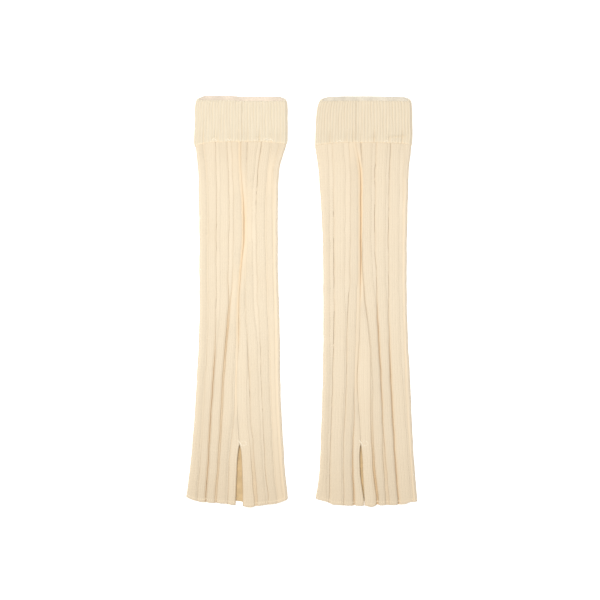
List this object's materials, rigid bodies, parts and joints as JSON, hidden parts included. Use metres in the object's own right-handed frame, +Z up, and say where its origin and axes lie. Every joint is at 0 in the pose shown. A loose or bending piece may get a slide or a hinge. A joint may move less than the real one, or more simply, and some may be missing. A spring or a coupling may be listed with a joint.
{
  "type": "pair of leg warmers",
  "caption": "Pair of cream rib-knitted leg warmers, each with a doubled fine-rib cuff, a front seam and an open hem slit, lying flat side by side.",
  "frame": {"origin": "middle of the pair's outline, on the surface that it lies on", "axes": "+Y from the hems towards the cuffs, +X to the right seen from above, +Z up"},
  "size_m": [0.2528, 0.4498, 0.0088],
  "materials": {
    "wide_rib_knit": "matt cream yarn in wide ribs",
    "fine_rib_knit": "matt cream yarn in fine one-by-one rib"
  },
  "bodies": {
    "root": {"left_leg": "wide_rib_knit", "left_cuff": "fine_rib_knit", "right_leg": "wide_rib_knit", "right_cuff": "fine_rib_knit"}
  },
  "joints": []
}
